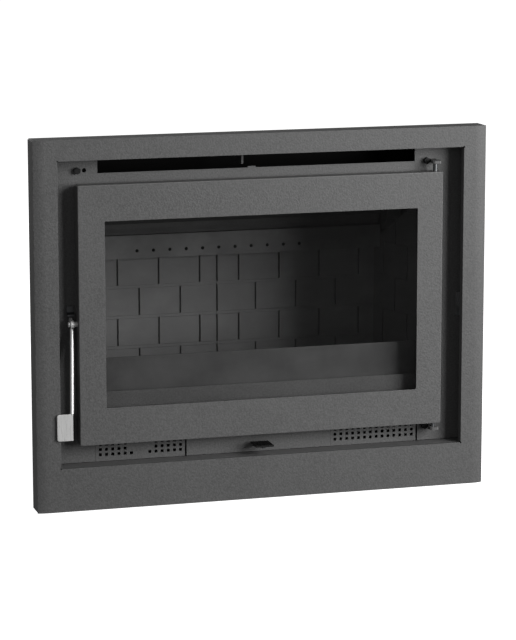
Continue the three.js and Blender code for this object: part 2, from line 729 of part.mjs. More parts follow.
// A ramp on the facade that the nose wedges under when the lever is pressed down.
function latchKeeper() {
  const back = facadeSetback - gap;
  const noseTop = handleAxisZ + noseReach * Math.sin(THREE.MathUtils.degToRad(noseRise)) + noseHalf;
  const low = noseTop + keeperClearance;
  const plate = back - keeperSheet;
  const outline = [[back - keeperReach, low], [back, low - 0.8], [back, low + keeperHeight],
    [plate, low + keeperHeight], [plate, low + 6], [back - keeperReach, low + 3]];
  return prismX(outline, [handleX - 6, handleX + 6]);
}
add('latch_keeper', latchKeeper(), 'zinc');

// ---------------------------------------------------------------- air control
function airTab() {
  const x = [tabX - tabWidth / 2, tabX + tabWidth / 2];
  const y = [tabFront, tabFront + tabLength];
  const plateTop = tabTop - tabRibHeight;
  let tab = solid(block(x, y, [plateTop - tabSheet, plateTop]));
  const pitch = tabWidth / tabRibs;
  for (let i = 0; i < tabRibs; i += 1) {
    const left = x[0] + pitch * (i + 0.25);
    tab = join(tab, block([left, left + pitch / 2], y, [plateTop - tabSheet / 2, tabTop]));
  }
  return tab;
}

function airBox() {
  const half = damperWidth / 2 + 4;
  const low = casingBottom + casingSheet + gap;
  const high = shellBottom - gap;
  const back = airBoxFront + airBoxDepth;
  const t = airBoxSheet;
  const body = solid(block([-half, half], [airBoxFront, back], [low, high]));
  const front = block([-half + t, half - t], [airBoxFront - 1, back - t], [low + t, high + 1]);
  return cut(body, front);
}

add('air_tab', airTab(), 'black_steel');
const airRodY = [tabFront + 8, damperFront - gap];
add('air_rod', bar([tabX, airRodY[0], airRodZ], [tabX, airRodY[1], airRodZ], airRodRadius, 20), 'zinc');
add('damper_plate', block(
  [tabX - damperWidth / 2, tabX + damperWidth / 2], [damperFront, damperFront + damperSheet],
  [casingBottom + casingSheet + 4, shellBottom - 4]), 'galvanised');
add('air_box', airBox(), 'galvanised');

// ---------------------------------------------------------------- steel bodies
function flueHole(z, radius) {
  return bar([0, flueMiddleY, z - 10], [0, flueMiddleY, z + 10], radius, 64);
}

function casing() {
  const y0 = bodyFront;
  const t = casingSheet;
  const side = (inset, back) => [
    [back, casingBottom + inset], [back, rearTop - inset], [hoodBack + hoodSlant - inset, rearTop - inset],
    [hoodBack - inset, hoodTop - inset], [y0 - inset, hoodTop - inset], [y0 - inset, casingBottom + inset]];
  const reach = [-frameWidth, frameWidth];
  const outer = solid(prismZ(plan(casingOuter, y0, casingBack), [0, frameHeight]))
    .intersect(solid(prismX(side(0, casingBack), reach)));
  const inner = solid(prismZ(plan(casingInner, y0 - t, casingBack - t), [0, frameHeight]))
    .intersect(solid(prismX(side(t, casingBack - t), reach)));
  return cut(outer.subtract(inner), flueHole(rearTop, flueRadius + gap));
}

function shellSheetAt(place) {
  const y0 = bodyFront;
  const back = shellBack - shellSheet;
  const outline = plan(shellOuter, y0, shellBack);
  const walls = [shellBottom + shellSheet + gap, shellTop - shellSheet - gap];
  if (place === 'floor') {
    const high = shellBottom + shellSheet;
    const port = block([-airPortWidth / 2, airPortWidth / 2], [wellFront, wellFront + airPortDepth],
      [shellBottom - 1, high + 1]);
    return cut(solid(prismZ(outline, [shellBottom, high])), port);
  }
  if (place === 'ceiling') {
    const sheet = solid(prismZ(outline, [shellTop - shellSheet, shellTop]));
    return cut(sheet, flueHole(shellTop, flueRadius - flueWall));
  }
  if (place === 'back') return solid(prismZ(plan(shellOuter, back, shellBack), walls));
  const ring = solid(prismZ(plan(shellOuter, y0, back - gap), walls));
  const side = place === 'left' ? [-frameWidth, 0] : [0, frameWidth];
  const hollow = prismZ(plan(shellInner, y0 - 1, shellBack), [shellBottom, shellTop]);
  return cut(ring, hollow).intersect(solid(block(side, [0, shellBack + 1], walls)));
}

function flueCollar() {
  const low = shellTop + gap;
  const inner = flueRadius - flueWall;
  const profile = [[inner, low], [flueRadius + flueFlange, low], [flueRadius + flueFlange, low + 2.5],
    [flueRadius, low + 2.5], [flueRadius, flueTop], [inner, flueTop], [inner, low]];
  const geometry = new THREE.LatheGeometry(profile.map(([r, z]) => new THREE.Vector2(r, z)), 64);
  return geometry.rotateX(Math.PI / 2).translate(0, flueMiddleY, 0);
}

function foot(x, y) {
  const top = casingBottom - gap;
  const nutLow = top - footNutHeight;
  const profile = [[0, 0], [footPadRadius, 0], [footPadRadius, footPadHeight - 2],
    [footPadRadius - 4, footPadHeight], [footStemRadius, footPadHeight], [footStemRadius, nutLow],
    [footNutRadius, nutLow], [footNutRadius, top], [0, top]];
  const geometry = new THREE.LatheGeometry(profile.map(([r, z]) => new THREE.Vector2(r, z)), 24);
  return geometry.rotateX(Math.PI / 2).translate(x, y, 0);
}

add('casing', casing(), 'inner_steel');
for (const place of ['floor', 'left', 'right', 'back', 'ceiling']) {
  add(`shell_${place}`, shellSheetAt(place), 'inner_steel');
}
add('flue_collar', flueCollar(), 'inner_steel');
const footInset = 42;
const footRows = { front: bodyFront + footInset, rear: casingBack - footInset };
for (const [row, y] of Object.entries(footRows)) {
  const x = planHalf(casingOuter, y) - footInset;
  add(`foot_${row}_left`, foot(-x, y), 'zinc');
  add(`foot_${row}_right`, foot(x, y), 'zinc');
}

function outletRib() {
  const x = slotLipLeft - 8;
  const z = [slotBottom + 6.4, hoodTop - casingSheet - gap];
  return block([x - 1.6, x + 1.6], [bodyFront + 1, bodyFront + 30], z);
}
add('outlet_rib', outletRib(), 'body_paint');

// ---------------------------------------------------------------- lining
// Cuts for a brick pattern: thin bed lines, and upright joints that stop at them. groove makes a cut from
// a stretch along the wall, a stretch of height and a depth.
function brickJoints({ rowHeight, strip, starts, seam }, run, [low, high], groove) {
  const cuts = [];
  const firstRow = Math.floor((low - brickRowZ) / rowHeight);
  const lastRow = Math.ceil((high - brickRowZ) / rowHeight);
  for (let row = firstRow; row <= lastRow; row += 1) {
    const bed = brickRowZ + row * rowHeight;
    const lines = strip > 0 ? [bed, bed + strip] : [bed];
    for (const z of lines) {
      if (z < low + bedLine || z > high - bedLine) continue;
      cuts.push(groove([-1, run + 1], [z - bedLine / 2, z + bedLine / 2], bedDepth));
    }
    const height = [Math.max(bed + strip, low - 1), Math.min(bed + rowHeight, high + 1)];
    if (height[1] - height[0] < 2) continue;
    if (seam) cuts.push(groove([-jointWidth / 2, jointWidth / 2], height, jointDepth));
    for (let along = starts[Math.abs(row) % 2]; along < run - jointWidth; along += brickWidth) {
      cuts.push(groove([along - jointWidth / 2, along + jointWidth / 2], height, jointDepth));
    }
  }
  return cuts;
}

function backLining(place, side) {
  const z = [hearthTop + gap, beamBottom - gap];
  const x = [(side * gap) / 2, side * liningHalf].sort((a, b) => a - b);
  const half = solid(block(x, [liningBack - 1, liningEnd + 1], z));
  const slab = solid(prismZ(plan(-gap, liningBack, liningEnd), z)).intersect(half);
  const groove = (along, height, depth) => block(
    along.map((a) => side * a).sort((a, b) => a - b), [liningBack - 1, liningBack + depth], height);
  const pattern = { rowHeight: brickHeight, strip: bedStrip, starts: backStarts[place], seam: true };
  return cut(slab, ...brickJoints(pattern, planHalf(-gap, liningBack), z, groove));
}

function sideLining(side, part) {
  const low = hearthTop + gap;
  const ring = solid(prismZ(plan(liningThickness, liningFront, liningEnd), [low, sideLiningTop]));
  const hollow = prismZ(plan(0, liningFront - 1, liningEnd + 1), [low - 1, sideLiningTop + 1]);
  const half = frameWidth / 2;
  const x = side < 0 ? [-half, 0] : [0, half];
  const split = liningKink;
  const y = part === 'front' ? [0, split - gap / 2] : [split + gap / 2, liningEnd + 1];
  const kept = solid(block(x, y, [low - 1, sideLiningTop + 1]));
  let slab = cut(ring, hollow).intersect(kept);
  if (part === 'front') return slab;
  const topAtEnd = sideTopAtBack - sideTopSlope * (liningEnd + 1 - liningBack);
  slab = cut(slab, prismX([[sideTopKink, sideLiningTop], [liningEnd + 1, topAtEnd],
    [liningEnd + 1, sideLiningTop + 9], [sideTopKink, sideLiningTop + 9]], x));
  const turn = new THREE.Matrix4().makeRotationZ(side * Math.atan(liningSplay));
  const groove = (along, height, depth) => block([-depth, depth], along, height)
    .applyMatrix4(turn).translate(side * liningHalf, liningKink, 0);
  const pattern = { rowHeight: sideBrickHeight, strip: 0, starts: sideStarts, seam: false };
  const run = (liningEnd - liningKink) * splayLength;
  return cut(slab, ...brickJoints(pattern, run, [low, sideLiningTop], groove));
}

function hearthFloor() {
  let floor = solid(prismZ(plan(liningThickness, liningFront, liningEnd), [hearthBottom, hearthTop]));
  const wallOut = [grateWidth / 2 + wellWall, grateDepth / 2 + wellWall];
  floor = join(floor, block([-wallOut[0], wallOut[0]],
    [grateMiddleY - wallOut[1], grateMiddleY + wallOut[1]], [hearthFeet, hearthBottom + 1]));
  floor = cut(floor, block([-wellHalfX, wellHalfX], [wellFront, wellBack], [hearthFeet - 1, hearthTop + 1]));
  const seat = [grateWidth / 2 + gap, grateDepth / 2 + gap];
  return cut(floor, block([-seat[0], seat[0]],
    [grateMiddleY - seat[1], grateMiddleY + seat[1]], [hearthTop - grateThickness, hearthTop + 1]));
}

function grate() {
  const z = [hearthTop - grateThickness + gap, hearthTop];
  const depth = [grateMiddleY - grateDepth / 2, grateMiddleY + grateDepth / 2];
  const pitch = (grateWidth - 2 * grateMargin) / grateSlots;
  const slots = [];
  for (let i = 0; i < grateSlots; i += 1) {
    const x = -grateWidth / 2 + grateMargin + pitch * (i + 0.5);
    const length = [depth[0] + grateMargin, depth[1] - grateMargin];
    slots.push(block([x - pitch / 4, x + pitch / 4], length, [z[0] - 1, z[1] + 1]));
  }
  return cut(solid(block([-grateWidth / 2, grateWidth / 2], depth, z)), ...slots);
}

// The pan stands behind the air port, so that air rises in front of it.
function ashPan() {
  const half = wellHalfX - ashPanPlay;
  const y = [wellFront + airPortDepth + ashPanPlay, wellBack - ashPanPlay];
  const z = [hearthFeet, hearthBottom - ashPanDrop];
  const t = ashPanSheet;
  const hollow = block([-half + t, half - t], [y[0] + t, y[1] - t], [z[0] + t, z[1] + 1]);
  return cut(solid(block([-half, half], y, z)), hollow);
}

for (const [place, side] of [['left', -1], ['right', 1]]) {
  add(`back_lining_${place}`, backLining(place, side), 'lining');
  add(`side_lining_front_${place}`, sideLining(side, 'front'), 'lining');
  add(`side_lining_rear_${place}`, sideLining(side, 'rear'), 'lining');
}
add('hearth_floor', hearthFloor(), 'lining');
add('grate', grate(), 'cast_iron');
add('ash_pan', ashPan(), 'galvanised');

// ---------------------------------------------------------------- air beam, baffle and log guard
function airBeam() {
  const t = beamSheet;
  const body = solid(prismZ(plan(-gap, beamFront, liningEnd), [beamBottom, beamTop]));
  const hollow = [[-liningHalf, liningHalf], [beamFront + t, liningEnd - t], [beamBottom + t, beamTop - t]];
  let beam = cut(body, block(...hollow));
  for (let i = 0; i < beamHoles; i += 1) {
    const x = beamHoleShift + (i - (beamHoles - 1) / 2) * beamHolePitch;
    const z = beamBottom + beamHoleRise;
    beam = cut(beam, bar([x, beamFront - 1, z], [x, beamFront + t + 1, z], beamHoleRadius, 16));
  }
  return beam;
}

// The baffle's underside, from its foot on the beam up its stepped rear edge and forwards along its slope.
const baffleNoseY = beamFront + 0.5;
const baffleNoseZ = beamTop + gap + baffleShadow + baffleChamfer[1] + baffleNose;
const baffleUnder = (y) => baffleNoseZ + baffleSlope * (baffleNoseY - y);

function baffle() {
  const rise = baffleThickness * Math.hypot(1, baffleSlope);
  const lipY = baffleNoseY + baffleChamfer[0];
  const foot = [lipY + 4, lipY + 4 + baffleFoot];
  const shadowTop = beamTop + gap + baffleShadow;
  const outline = [[foot[1], beamTop + gap], [foot[1], baffleUnder(foot[1]) + rise],
    [baffleFront, baffleUnder(baffleFront) + rise], [baffleFront, baffleUnder(baffleFront)],
    [baffleNoseY, baffleNoseZ], [baffleNoseY, baffleNoseZ - baffleNose], [lipY, shadowTop],
    [foot[0], shadowTop], [foot[0], beamTop + gap]];
  const board = solid(prismX(outline, [-liningHalf, liningHalf]));
  return board.intersect(solid(prismZ(plan(-2, baffleFront - 1, liningEnd), [beamTop, shellTop])));
}

function baffleSupport(side) {
  const y = [liningBack - supportSetback, liningBack - supportSetback + supportDepth];
  const lining = (depth) => sideLiningTop - sideTopSlope * (depth - sideTopKink) + gap;
  const outline = [[y[0], lining(y[0])], [y[1], lining(y[1])],
    [y[1], baffleUnder(y[1]) - gap], [y[0], baffleUnder(y[0]) - gap]];
  const inner = planHalf(-9, y[1]);
  const outer = planHalf(liningThickness - 2, y[1]);
  return prismX(outline, [side * inner, side * outer].sort((a, b) => a - b));
}

function logGuard() {
  const half = liningHalf - gap;
  return block([-half, half], [guardSetback, guardSetback + guardSheet], [hearthTop + gap, guardTop]);
}

add('air_beam', airBeam(), 'inner_steel');
add('baffle', baffle(), 'lining');
add('baffle_support_left', baffleSupport(-1), 'inner_steel');
add('baffle_support_right', baffleSupport(1), 'inner_steel');
add('log_guard', logGuard(), 'inner_steel');

const footprint = new THREE.Box3().setFromObject(insert);
insert.position.y = -(footprint.min.y + footprint.max.y) / 2;

export default insert;
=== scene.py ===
"""Looks of the fireplace insert: grey powder-coated frame, facade and glazed door, brick-pattern firebox."""

import json
import math

import bmesh
import bpy
from mathutils import Matrix, Vector


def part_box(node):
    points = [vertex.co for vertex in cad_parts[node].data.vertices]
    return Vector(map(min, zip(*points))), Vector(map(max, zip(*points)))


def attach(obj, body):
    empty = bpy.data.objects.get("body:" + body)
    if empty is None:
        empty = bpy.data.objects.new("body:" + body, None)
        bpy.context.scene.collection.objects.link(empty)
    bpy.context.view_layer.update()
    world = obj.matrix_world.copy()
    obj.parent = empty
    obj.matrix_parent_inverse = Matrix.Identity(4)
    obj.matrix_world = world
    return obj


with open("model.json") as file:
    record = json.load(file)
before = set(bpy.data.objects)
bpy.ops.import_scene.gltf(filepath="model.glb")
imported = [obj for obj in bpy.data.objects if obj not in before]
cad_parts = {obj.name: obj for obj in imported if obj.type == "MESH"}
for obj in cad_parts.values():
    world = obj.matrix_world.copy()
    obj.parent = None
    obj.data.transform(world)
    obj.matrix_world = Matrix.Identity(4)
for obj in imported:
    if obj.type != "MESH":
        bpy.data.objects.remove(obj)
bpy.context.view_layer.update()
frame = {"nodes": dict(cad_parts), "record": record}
nodes = frame["nodes"]
MM = 0.001
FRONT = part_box("trim_frame")[0].y  # the trim frame's front plane, y = 0 of the sizes below


def at(x, y, z):
    """A point given in millimetres from the frame's front plane, in the row frame."""
    return Vector((x * MM, FRONT + y * MM, z * MM))


# ---------------------------------------------------------------- node materials


class Nodes:
    """Builds one material's node tree."""

    def __init__(self, name):
        self.material = bpy.data.materials.new(name)
        self.material.use_nodes = True
        self.tree = self.material.node_tree
        self.shader = self.tree.nodes["Principled BSDF"]
        self.coordinates = self.add("ShaderNodeTexCoord")
        self.place = self.coordinates.outputs["Object"]

    def add(self, kind, **settings):
        node = self.tree.nodes.new(kind)
        for key, value in settings.items():
            setattr(node, key, value)
        return node

    def link(self, source, target):
        self.tree.links.new(source, target)

    def noise(self, scale, detail=3.0, roughness=0.55, stretch=None):
        node = self.add("ShaderNodeTexNoise")
        node.inputs["Scale"].default_value = scale
        node.inputs["Detail"].default_value = detail
        node.inputs["Roughness"].default_value = roughness
        source = self.place
        if stretch:
            mapping = self.add("ShaderNodeMapping")
            mapping.inputs["Scale"].default_value = stretch
            self.link(self.place, mapping.inputs["Vector"])
            source = mapping.outputs["Vector"]
        self.link(source, node.inputs["Vector"])
        return node.outputs["Fac"]

    def cells(self, scale):
        node = self.add("ShaderNodeTexVoronoi", feature="F1")
        node.inputs["Scale"].default_value = scale
        self.link(self.place, node.inputs["Vector"])
        return node

    def spread(self, value, low, high, start=0.0, end=1.0):
        node = self.add("ShaderNodeMapRange")
        node.inputs["From Min"].default_value = start
        node.inputs["From Max"].default_value = end
        node.inputs["To Min"].default_value = low
        node.inputs["To Max"].default_value = high
        self.link(value, node.inputs["Value"])
        return node.outputs["Result"]

    def mix(self, factor, first, second):
        node = self.add("ShaderNodeMix", data_type="RGBA")
        for value, socket in ((factor, node.inputs[0]), (first, node.inputs[6]), (second, node.inputs[7])):
            if isinstance(value, bpy.types.NodeSocket):
                self.link(value, socket)
            elif isinstance(value, tuple):
                socket.default_value = (*value, 1.0)
            else:
                socket.default_value = value
        return node.outputs[2]

    def edges(self):
        """One on rounded edges, zero on the flats: how far the normal turns from the object's own axes."""
        axes = self.add("ShaderNodeSeparateXYZ")
        self.link(self.coordinates.outputs["Normal"], axes.inputs["Vector"])
        largest = None
        for axis in ("X", "Y", "Z"):
            size = self.add("ShaderNodeMath", operation="ABSOLUTE")
            self.link(axes.outputs[axis], size.inputs[0])
            if largest is None:
                largest = size.outputs["Value"]
                continue
            more = self.add("ShaderNodeMath", operation="MAXIMUM")
            self.link(largest, more.inputs[0])
            self.link(size.outputs["Value"], more.inputs[1])
            largest = more.outputs["Value"]
        return self.spread(largest, 0.0, 1.0, 0.95, 0.8)

    def deeper_than(self, depth):
        """One where the surface lies behind the given depth of the object's own y."""
        axes = self.add("ShaderNodeSeparateXYZ")
        self.link(self.place, axes.inputs["Vector"])
        return self.spread(axes.outputs["Y"], 0.0, 1.0, depth, depth + 0.5 * MM)

    def looking(self, direction):
        """One on faces whose normal points about the given way."""
        turn = self.add("ShaderNodeVectorMath", operation="DOT_PRODUCT")
        self.link(self.add("ShaderNodeNewGeometry").outputs["True Normal"], turn.inputs[0])
        turn.inputs[1].default_value = direction
        return self.spread(turn.outputs["Value"], 0.0, 1.0, 0.3, 0.5)

    def bump(self, height, strength, distance, below=None):
        node = self.add("ShaderNodeBump")
        node.inputs["Strength"].default_value = strength
        node.inputs["Distance"].default_value = distance
        self.link(height, node.inputs["Height"])
        if below:
            self.link(below, node.inputs["Normal"])
        return node.outputs["Normal"]

    def finish(self, colour, roughness, normal, metallic=0.0, specular=0.5):
        for value, name in ((colour, "Base Color"), (roughness, "Roughness"), (normal, "Normal")):
            socket = self.shader.inputs[name]
            if isinstance(value, bpy.types.NodeSocket):
                self.link(value, socket)
            else:
                socket.default_value = value
        self.shader.inputs["Metallic"].default_value = metallic
        self.shader.inputs["Specular IOR Level"].default_value = specular
        return self.material


def grey(level):
    return (level, level, level)


HOLE_SHADE_BLACK = grey(0.002)  # painted shade: the darkness seen through a small hole
OUTLET_SHADE_BLACK = grey(0.006)  # painted shade: the darkness seen inside the warm-air outlet


def powder_coat(name, level, rough, edge_highlight, shade_behind=None):
    """Matte textured paint with fine orange-peel grain and rounded edges painted paler as a painted
    highlight.
    """
    n = Nodes(name)
    grain = n.noise(340, 3.0, 0.6)
    cloud = n.noise(9, 2.0)
    tone = n.mix(n.spread(cloud, 0.0, 1.0, 0.3, 0.7), grey(level * 0.93), grey(level * 1.07))
    speck = n.mix(n.spread(grain, 0.0, 1.0, 0.35, 0.68), grey(level * 0.66), grey(level * 1.34))
    colour = n.mix(0.5, tone, speck)
    # painted highlight: the rounded edges are painted paler by the edge_highlight factor
    colour = n.mix(n.edges(), colour, grey(level * edge_highlight))
    # painted shade: black where the surface lies behind the given depth, inside holes
    if shade_behind is not None:
        colour = n.mix(n.deeper_than(shade_behind), colour, HOLE_SHADE_BLACK)
    roughness = n.spread(grain, rough - 0.07, rough + 0.07, 0.3, 0.7)
    return n.finish(colour, roughness, n.bump(grain, 0.5, 0.0009), specular=0.4)


def heat_paint(name, level, rough, gloss=0.35, shade_behind=None, shade_facing=None):
    """Dull stove paint with soot in patches and a painted highlight on rounded edges. It can be painted
    black behind a depth or where it faces a way, as painted shade.
    """
    n = Nodes(name)
    grain = n.noise(480, 4.0, 0.6)
    soot = n.noise(11, 4.0, 0.6)
    colour = n.mix(n.spread(soot, 0.0, 1.0, 0.4, 0.65), grey(level * 0.8), grey(level * 1.15))
    # painted highlight: the rounded edges are painted paler
    colour = n.mix(n.edges(), colour, grey(level * 1.5))
    # painted shade: black where the surface lies behind the given depth, inside holes
    if shade_behind is not None:
        colour = n.mix(n.deeper_than(shade_behind), colour, HOLE_SHADE_BLACK)
    # painted shade: black on faces that look the given way
    if shade_facing is not None:
        colour = n.mix(n.looking(shade_facing), colour, OUTLET_SHADE_BLACK)
    return n.finish(colour, n.spread(soot, rough - 0.06, rough + 0.08, 0.3, 0.7),
                    n.bump(grain, 0.3, 0.0003), specular=gloss)


def zinc_sheet(name):
    """Galvanised sheet with soft crystal spangle."""
    n = Nodes(name)
    spangle = n.cells(75)
    tint = n.add("ShaderNodeSeparateColor")
    n.link(spangle.outputs["Color"], tint.inputs["Color"])
    streak = n.noise(14, 5.0, 0.65)
    colour = n.mix(n.spread(tint.outputs["Red"], 0.0, 1.0), (0.36, 0.37, 0.38), (0.5, 0.51, 0.53))
    colour = n.mix(n.spread(streak, 0.0, 0.5, 0.45, 0.7), colour, (0.3, 0.3, 0.31))
    rough = n.spread(tint.outputs["Red"], 0.34, 0.52)
    return n.finish(colour, rough, n.bump(n.noise(300), 0.15, 0.0002), metallic=0.85)


def refractory(name, level):
    """Pressed refractory board: fine grain, small pits and a little soot."""
    n = Nodes(name)
    grain = n.noise(420, 5.0, 0.7)
    cloud = n.noise(16, 4.0, 0.6)
    pits = n.spread(n.cells(260).outputs["Distance"], 0.0, 1.0, 0.0, 0.3)
    colour = n.mix(n.spread(cloud, 0.0, 1.0, 0.35, 0.65), grey(level * 0.92), grey(level * 1.06))
    colour = n.mix(n.spread(grain, 0.0, 0.3, 0.4, 0.7), colour, grey(level * 1.2))
    normal = n.bump(pits, 0.1, 0.0004, n.bump(grain, 0.2, 0.0003))
    return n.finish(colour, 0.9, normal, specular=0.25)


def cast_metal(name, level):
    n = Nodes(name)
    grain = n.noise(300, 5.0, 0.7)
    colour = n.mix(n.spread(n.noise(20), 0.0, 1.0, 0.35, 0.65), grey(level * 0.8), grey(level * 1.3))
    # painted highlight: the rounded edges are painted paler
    colour = n.mix(n.edges(), colour, grey(level * 2.2))
    return n.finish(colour, n.spread(grain, 0.55, 0.8, 0.3, 0.7), n.bump(grain, 0.5, 0.0008), metallic=0.5)


def brushed(name, tone, rough, along=(1.0, 1.0, 0.03), metallic=1.0):
    """Bright metal with fine brush lines along one axis."""
    n = Nodes(name)
    lines = n.noise(1500, 3.0, 0.6, stretch=along)
    colour = n.mix(n.spread(lines, 0.0, 1.0, 0.3, 0.7), tuple(c * 0.88 for c in tone), tone)
    rough_lines = n.spread(lines, rough - 0.08, rough + 0.08, 0.3, 0.7)
    return n.finish(colour, rough_lines, n.bump(lines, 0.12, 0.0001), metallic=metallic)


def woven(name, tone):
    """Glass-fibre rope with a diagonal weave."""
    n = Nodes(name)
    wave = n.add("ShaderNodeTexWave", wave_type="BANDS", bands_direction="DIAGONAL")
    wave.inputs["Scale"].default_value = 260
    wave.inputs["Distortion"].default_value = 1.5
    n.link(n.place, wave.inputs["Vector"])
    strand = wave.outputs["Fac"]
    colour = n.mix(strand, tuple(c * 0.6 for c in tone), tone)
    return n.finish(colour, 0.95, n.bump(strand, 0.6, 0.0012), specular=0.15)


def clear_pane(name):
    """Ceramic glass: nearly clear straight on, mirror-like at the sides, with faint wiping marks."""
    n = Nodes(name)
    smear = n.noise(7, 5.0, 0.6, stretch=(1.0, 1.0, 2.5))
    output = next(node for node in n.tree.nodes if node.type == "OUTPUT_MATERIAL")
    clear = n.add("ShaderNodeBsdfTransparent")
    tint = n.mix(n.spread(smear, 0.0, 1.0, 0.3, 0.7), grey(0.87), grey(0.935))
    n.link(tint, clear.inputs["Color"])
    gloss = n.add("ShaderNodeBsdfGlossy")
    n.link(n.spread(smear, 0.0, 0.05, 0.3, 0.7), gloss.inputs["Roughness"])
    fresnel = n.add("ShaderNodeFresnel")
    fresnel.inputs["IOR"].default_value = 1.4
    outside = n.spread(n.add("ShaderNodeNewGeometry").outputs["Backfacing"], 1.0, 0.0)
    shine = n.add("ShaderNodeMath", operation="MULTIPLY")
    n.link(fresnel.outputs["Fac"], shine.inputs[0])
    n.link(outside, shine.inputs[1])
    mixer = n.add("ShaderNodeMixShader")
    n.link(shine.outputs["Value"], mixer.inputs["Fac"])
    n.link(clear.outputs["BSDF"], mixer.inputs[1])
    n.link(gloss.outputs["BSDF"], mixer.inputs[2])
    n.link(mixer.outputs["Shader"], output.inputs["Surface"])
    n.tree.nodes.remove(n.shader)
    return n.material


MATERIALS = {
    "body_paint": powder_coat("body_paint", 0.1, 0.5, edge_highlight=1.7),
    "door_paint": powder_coat("door_paint", 0.105, 0.48, edge_highlight=3.0),
    "inner_steel": heat_paint("inner_steel", 0.078, 0.6),
    "galvanised": zinc_sheet("galvanised"),
    "lining": refractory("lining", 0.185),
    "cast_iron": cast_metal("cast_iron", 0.04),
    "stainless": brushed("stainless", (0.9, 0.9, 0.89), 0.34, metallic=0.5),
    "black_steel": heat_paint("black_steel", 0.012, 0.5, gloss=0.2),
    "zinc": brushed("zinc", (0.17, 0.175, 0.18), 0.42, along=(1.0, 1.0, 1.0)),
    "rope": woven("rope", (0.42, 0.4, 0.36)),
    "glass": clear_pane("glass"),
}

# ---------------------------------------------------------------- the CAD nodes as they are


def own_y(name):
    """The y of a node's front face in the node's own coordinates."""
    return min(vertex.co.y for vertex in nodes[name].data.vertices)


# Pieces of one slot painted darker or paler than the rest of it: painted shade and painted light for the
# shade and light they get, and painted black in their holes as painted shade.
BEAM_HOLE_DEPTH = own_y("air_beam") + 0.3 * MM
GRILLE_HOLE_DEPTHS = {side: own_y(f"grille_{side}") + 0.2 * MM for side in ("left", "right")}
OWN_MATERIALS = {
    # air beam: a paler copy of the inner steel, painted light for the light the firebox's back gets, and
    # painted shade black in its holes
    "air_beam": heat_paint("beam_steel_painted_light", 0.16, 0.6, shade_behind=BEAM_HOLE_DEPTH),
    # baffle: a darker copy of the lining, painted shade on its underside
    "baffle": refractory("baffle_board_painted_shade", 0.1),
    # casing: a darker copy of the inner steel, painted shade, black where it faces forward and down into the
    # outlet
    "casing": heat_paint("casing_steel_painted_shade", 0.06, 0.65, gloss=0.15, shade_facing=(0.0, -0.7, -0.7)),
    # shell ceiling: a near-black copy of the inner steel, painted shade inside the outlet
    "shell_ceiling": heat_paint("shell_steel_painted_shade", 0.014, 0.7, gloss=0.08),
}
# side linings: a darker copy of the lining, painted shade on the firebox's side walls
SHADED_SIDE_BOARD = refractory("side_board_painted_shade", 0.125)
for side, depth in GRILLE_HOLE_DEPTHS.items():
    # grilles: painted shade, black inside their holes
    OWN_MATERIALS[f"grille_{side}"] = powder_coat(
        f"grille_paint_hole_shade_{side}", 0.1, 0.5, edge_highlight=1.7, shade_behind=depth)
    for part in ("front", "rear"):
        OWN_MATERIALS[f"side_lining_{part}_{side}"] = SHADED_SIDE_BOARD

SLOT_OF = {part["node"]: part["material_slot"] for part in frame["record"]["subparts"]}
# Width in mm of the rounding on the edges of each piece that is bent or cast.
BEVELS = {
    "trim_frame": 0.9, "door_panel": 0.4, "facade_plate": 0.3, "facade_sill": 0.4, "log_guard": 0.6,
    "grate": 1.5, "casing": 1.0, "hinge_bracket_upper": 0.5, "hinge_bracket_lower": 0.5,
    "handle_grip": 0.3, "ash_pan": 0.5, "air_tab": 0.3, "latch_keeper": 0.4, "shell_ceiling": 0.6,
}
WELD_DISTANCE = 0.01 * MM
FLAT_ANGLE = math.radians(0.5)
SHARP_ANGLE = math.radians(35)


def soften(obj, width):
    """Rounds the sharp edges of a faceted solid by modifiers, without moving a vertex of it."""
    weld = obj.modifiers.new("weld", "WELD")
    weld.merge_threshold = WELD_DISTANCE
    flat = obj.modifiers.new("flat", "DECIMATE")
    flat.decimate_type = "DISSOLVE"
    flat.angle_limit = FLAT_ANGLE
    bevel = obj.modifiers.new("edge", "BEVEL")
    bevel.width = width * MM
    bevel.segments = 2
    bevel.limit_method = "ANGLE"
    bevel.angle_limit = SHARP_ANGLE
    obj.modifiers.new("shade", "WEIGHTED_NORMAL").weight = 100
    for face in obj.data.polygons:
        face.use_smooth = True


def dress(name):
    node = nodes[name]
    slot = SLOT_OF[name]
    node.data.materials.clear()
    node.data.materials.append(OWN_MATERIALS.get(name, MATERIALS[slot]))
    if name in BEVELS:
        soften(node, BEVELS[name])


for node_name in nodes:
    dress(node_name)

# ---------------------------------------------------------------- small parts the frame has no nodes for


def new_piece(name, mesh_edit, body, material):
    """A modelled detail that rides on a body and takes the material it is given."""
    shape = bmesh.new()
    mesh_edit(shape)
    bmesh.ops.recalc_face_normals(shape, faces=shape.faces)
    mesh = bpy.data.meshes.new(name)
    shape.to_mesh(mesh)
    shape.free()
    mesh.materials.append(material)
    obj = bpy.data.objects.new(name, mesh)
    bpy.context.scene.collection.objects.link(obj)
    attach(obj, body)


def turned(shape, profile, place, axis, sides=20):
    """A solid of revolution, flat at both ends. profile gives radii and heights in mm along the axis."""
    turn = Vector((0, 0, 1)).rotation_difference(Vector(axis)).to_matrix().to_4x4()
    spot = Matrix.Translation(place) @ turn
    rings = []
    for radius, height in profile:
        ring = []
        for i in range(sides):
            angle = 2 * math.pi * i / sides
            point = Vector((radius * MM * math.cos(angle), radius * MM * math.sin(angle), height * MM))
            ring.append(shape.verts.new(spot @ point))
        rings.append(ring)
    for low, high in zip(rings, rings[1:]):
        for i in range(sides):
            j = (i + 1) % sides
            shape.faces.new((low[i], low[j], high[j], high[i]))
    shape.faces.new(list(reversed(rings[0])))
    shape.faces.new(rings[-1])


HEAD = [(3.4, 0.05), (3.4, 0.5), (3.0, 1.1), (2.1, 1.6), (0.9, 1.85)]


